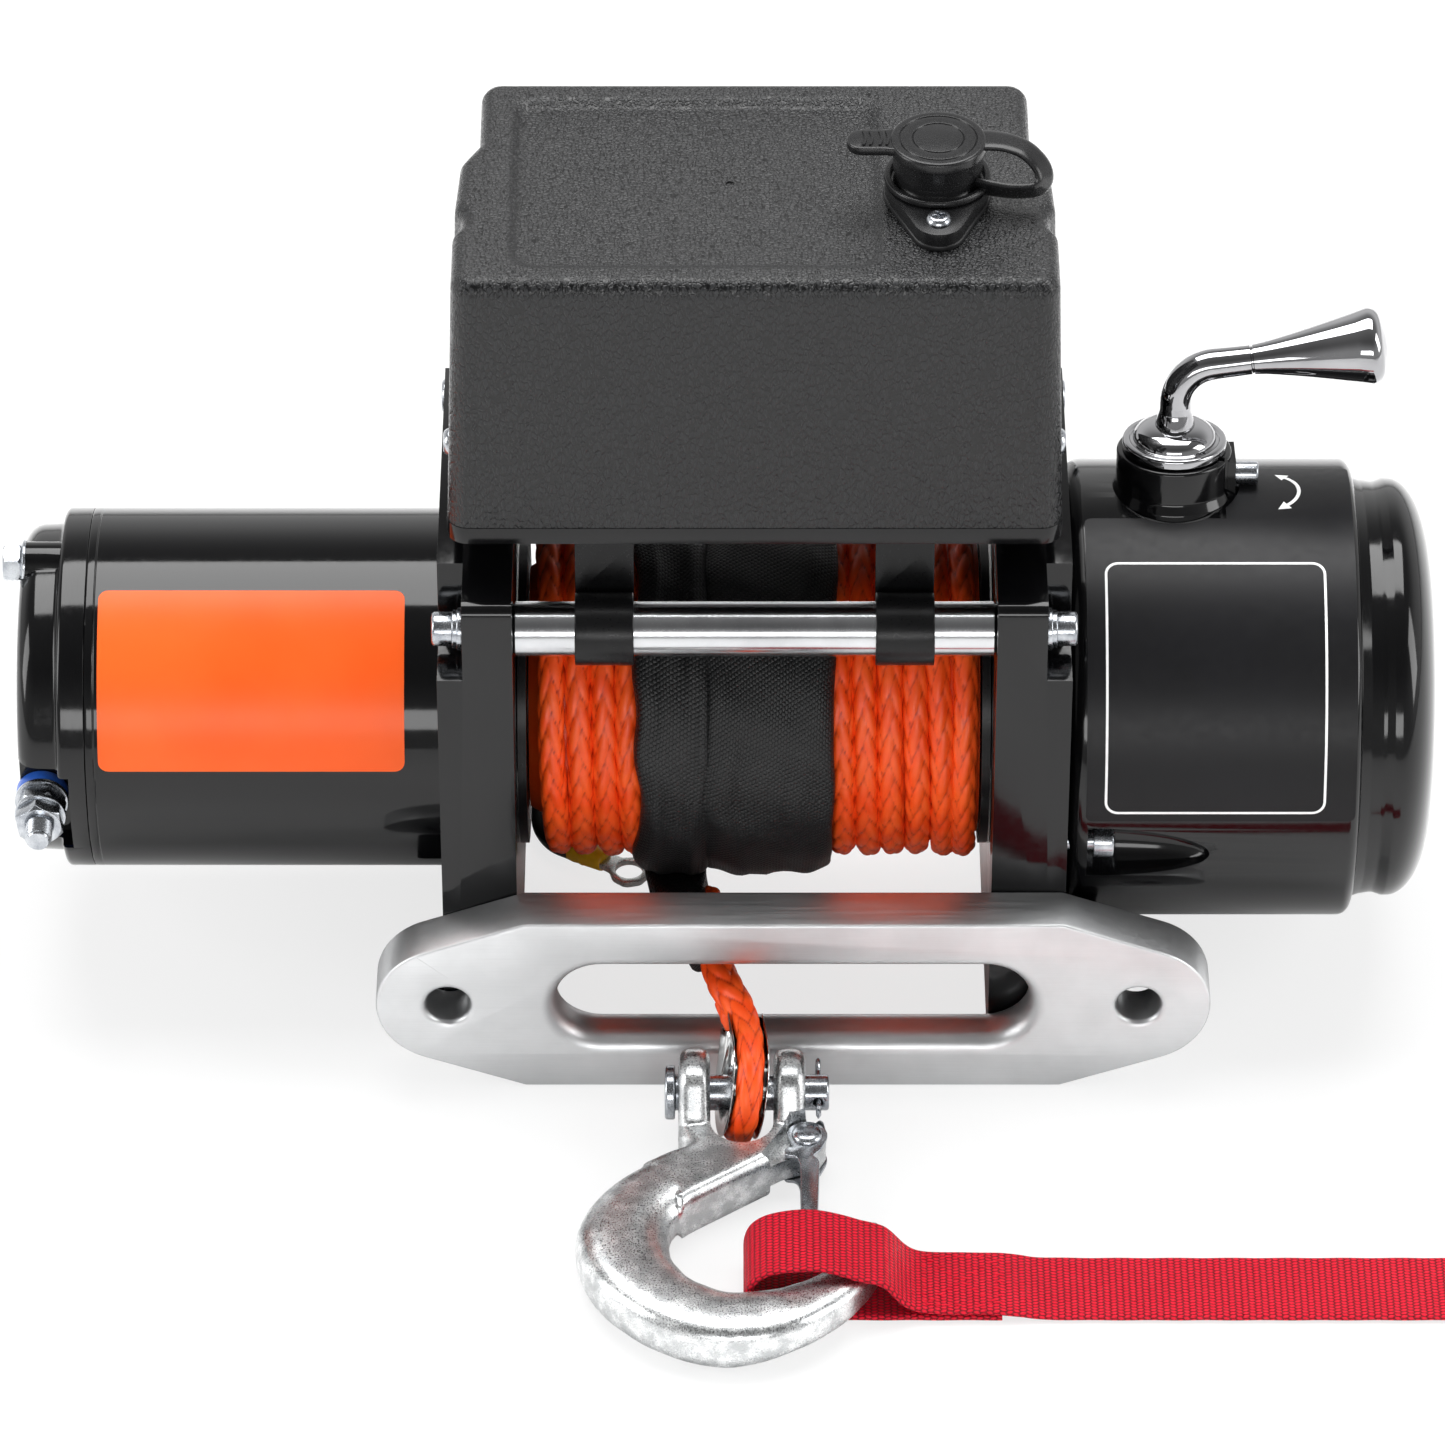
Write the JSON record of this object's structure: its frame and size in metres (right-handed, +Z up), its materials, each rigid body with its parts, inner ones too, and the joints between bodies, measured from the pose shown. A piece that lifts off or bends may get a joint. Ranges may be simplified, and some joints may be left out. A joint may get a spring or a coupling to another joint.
{
  "type": "electric recovery winch",
  "caption": "Electric winch with drum motor, planetary gearbox, free-spool clutch lever, control box, rope through a hawse fairlead, and a clevis hook with a hand strap.",
  "frame": {"origin": "centre of the four foot bolt holes, on the mounting plane under the drum", "axes": "+X along the drum axis from the motor towards the gearbox, -Y towards the side where the rope leaves through the fairlead, +Z up from the mounting plane"},
  "size_m": [0.4501, 0.2857, 0.2878],
  "materials": {
    "black_paint": "gloss",
    "black_casting": "gloss paint",
    "polished_steel": "polished",
    "plated_steel": "satin",
    "machine_steel": "satin",
    "black_steel": "satin",
    "ferrite": "matte",
    "copper": "satin",
    "bronze": "satin",
    "orange_label": "satin",
    "dark_label": "satin",
    "black_plastic": "matte",
    "blue_plastic": "gloss",
    "black_rubber": "matte",
    "brushed_aluminium": "brushed",
    "zinc_steel": "satin",
    "orange_rope": "matte",
    "black_webbing": "matte",
    "red_webbing": "matte",
    "tinned_copper": "satin"
  },
  "bodies": {
    "frame": {"left_support": "black_casting", "right_support": "black_casting", "tie_rods": "polished_steel", "tie_rod_bolts": "plated_steel", "motor_tube": "black_paint", "motor_end_cap": "black_casting", "motor_magnets": "ferrite", "motor_brushes": "black_plastic", "bronze_bushes": "bronze", "motor_bolts": "plated_steel", "terminal_studs": "plated_steel", "terminal_insulators": "blue_plastic", "motor_label": "orange_label", "gearbox_housing": "black_casting", "gearbox_cover": "black_casting", "gearbox_screws": "plated_steel", "ring_gear": "machine_steel", "gearbox_label": "dark_label", "clutch_collar": "black_casting", "box_tray": "black_paint", "box_cover": "black_plastic", "box_screws": "plated_steel", "box_brackets": "black_paint", "contactor": "black_plastic", "control_socket": "black_plastic", "fairlead": "brushed_aluminium", "rope_free": "orange_rope", "thimble": "zinc_steel", "motor_lead": "black_rubber", "lead_terminal": "tinned_copper"},
    "rotor": {"rotor_shaft": "machine_steel", "rotor_core": "machine_steel", "commutator": "copper", "drum_brake": "machine_steel"},
    "drum": {"drum": "black_steel", "rope_wraps": "orange_rope", "rope_sleeve": "black_webbing"},
    "carrier_1": {"carrier_1": "machine_steel"},
    "carrier_2": {"carrier_2": "machine_steel"},
    "carrier_3": {"carrier_3": "machine_steel"},
    "planet_1a": {"planet_1a": "machine_steel"},
    "planet_1b": {"planet_1b": "machine_steel"},
    "planet_1c": {"planet_1c": "machine_steel"},
    "planet_2a": {"planet_2a": "machine_steel"},
    "planet_2b": {"planet_2b": "machine_steel"},
    "planet_2c": {"planet_2c": "machine_steel"},
    "planet_3a": {"planet_3a": "machine_steel"},
    "planet_3b": {"planet_3b": "machine_steel"},
    "planet_3c": {"planet_3c": "machine_steel"},
    "clutch_lever": {"clutch_lever": "polished_steel", "clutch_shaft": "machine_steel"},
    "clutch_slider": {"clutch_slider": "machine_steel"},
    "socket_cap": {"socket_cap": "black_rubber"},
    "hook": {"hook": "zinc_steel", "clevis_pin": "zinc_steel", "cotter_pin": "plated_steel", "hand_strap": "red_webbing", "latch_rivet": "zinc_steel"},
    "hook_latch": {"hook_latch": "zinc_steel", "latch_spring": "zinc_steel"}
  },
  "joints": [
    {"name": "drum_spin", "type": "hinge", "parent": "frame", "child": "drum", "pos_m": [0, 0, 0.084], "axis": [1, 0, 0], "continuous": true},
    {"name": "motor_spin", "type": "hinge", "parent": "frame", "child": "rotor", "pos_m": [-0.14, 0, 0.084], "axis": [1, 0, 0], "continuous": true},
    {"name": "carrier_1_spin", "type": "hinge", "parent": "frame", "child": "carrier_1", "pos_m": [0.169, 0, 0.084], "axis": [1, 0, 0], "continuous": true},
    {"name": "carrier_2_spin", "type": "hinge", "parent": "frame", "child": "carrier_2", "pos_m": [0.154, 0, 0.084], "axis": [1, 0, 0], "continuous": true},
    {"name": "carrier_3_spin", "type": "hinge", "parent": "frame", "child": "carrier_3", "pos_m": [0.139, 0, 0.084], "axis": [1, 0, 0], "continuous": true},
    {"name": "planet_1a_spin", "type": "hinge", "parent": "carrier_1", "child": "planet_1a", "pos_m": [0.1765, 0, 0.0576], "axis": [1, 0, 0], "continuous": true},
    {"name": "planet_1b_spin", "type": "hinge", "parent": "carrier_1", "child": "planet_1b", "pos_m": [0.1765, 0.02286, 0.0972], "axis": [1, 0, 0], "continuous": true},
    {"name": "planet_1c_spin", "type": "hinge", "parent": "carrier_1", "child": "planet_1c", "pos_m": [0.1765, -0.02286, 0.0972], "axis": [1, 0, 0], "continuous": true},
    {"name": "planet_2a_spin", "type": "hinge", "parent": "carrier_2", "child": "planet_2a", "pos_m": [0.1615, 0, 0.0576], "axis": [1, 0, 0], "continuous": true},
    {"name": "planet_2b_spin", "type": "hinge", "parent": "carrier_2", "child": "planet_2b", "pos_m": [0.1615, 0.02286, 0.0972], "axis": [1, 0, 0], "continuous": true},
    {"name": "planet_2c_spin", "type": "hinge", "parent": "carrier_2", "child": "planet_2c", "pos_m": [0.1615, -0.02286, 0.0972], "axis": [1, 0, 0], "continuous": true},
    {"name": "planet_3a_spin", "type": "hinge", "parent": "carrier_3", "child": "planet_3a", "pos_m": [0.1465, 0, 0.0576], "axis": [1, 0, 0], "continuous": true},
    {"name": "planet_3b_spin", "type": "hinge", "parent": "carrier_3", "child": "planet_3b", "pos_m": [0.1465, 0.02286, 0.0972], "axis": [1, 0, 0], "continuous": true},
    {"name": "planet_3c_spin", "type": "hinge", "parent": "carrier_3", "child": "planet_3c", "pos_m": [0.1465, -0.02286, 0.0972], "axis": [1, 0, 0], "continuous": true},
    {"name": "clutch_turn", "type": "hinge", "parent": "frame", "child": "clutch_lever", "pos_m": [0.124, 0, 0.084], "axis": [0, -0.1495, -0.9888], "range_deg": [0, 90]},
    {"name": "clutch_slide", "type": "slide", "parent": "carrier_3", "child": "clutch_slider", "axis": [-1, 0, 0], "range_m": [0, 0.00602]},
    {"name": "cap_lift", "type": "slide", "parent": "frame", "child": "socket_cap", "axis": [0, 0, 1], "range_m": [0, 0.016]},
    {"name": "hook_swing", "type": "hinge", "parent": "frame", "child": "hook", "pos_m": [-0.0036, -0.108, 0.0165], "axis": [-1, 0, 0], "range_deg": [0, 90]},
    {"name": "latch_open", "type": "hinge", "parent": "hook", "child": "hook_latch", "pos_m": [0.0155, -0.1245, 0.009], "axis": [0, 0, -1], "range_deg": [-19, 26], "stiffness_Nm_per_rad": 0.05}
  ],
  "couplings": [
    {"joint": "carrier_1_spin", "follows": "motor_spin", "ratio": 0.18182},
    {"joint": "carrier_2_spin", "follows": "motor_spin", "ratio": 0.033058},
    {"joint": "carrier_3_spin", "follows": "motor_spin", "ratio": 0.0060105},
    {"joint": "planet_1a_spin", "follows": "motor_spin", "ratio": -0.46753},
    {"joint": "planet_1b_spin", "follows": "motor_spin", "ratio": -0.46753},
    {"joint": "planet_1c_spin", "follows": "motor_spin", "ratio": -0.46753},
    {"joint": "planet_2a_spin", "follows": "motor_spin", "ratio": -0.085006},
    {"joint": "planet_2b_spin", "follows": "motor_spin", "ratio": -0.085006},
    {"joint": "planet_2c_spin", "follows": "motor_spin", "ratio": -0.085006},
    {"joint": "planet_3a_spin", "follows": "motor_spin", "ratio": -0.015456},
    {"joint": "planet_3b_spin", "follows": "motor_spin", "ratio": -0.015456},
    {"joint": "planet_3c_spin", "follows": "motor_spin", "ratio": -0.015456},
    {"joint": "clutch_slide", "follows": "clutch_turn", "m_per_rad": 0.0038197}
  ]
}
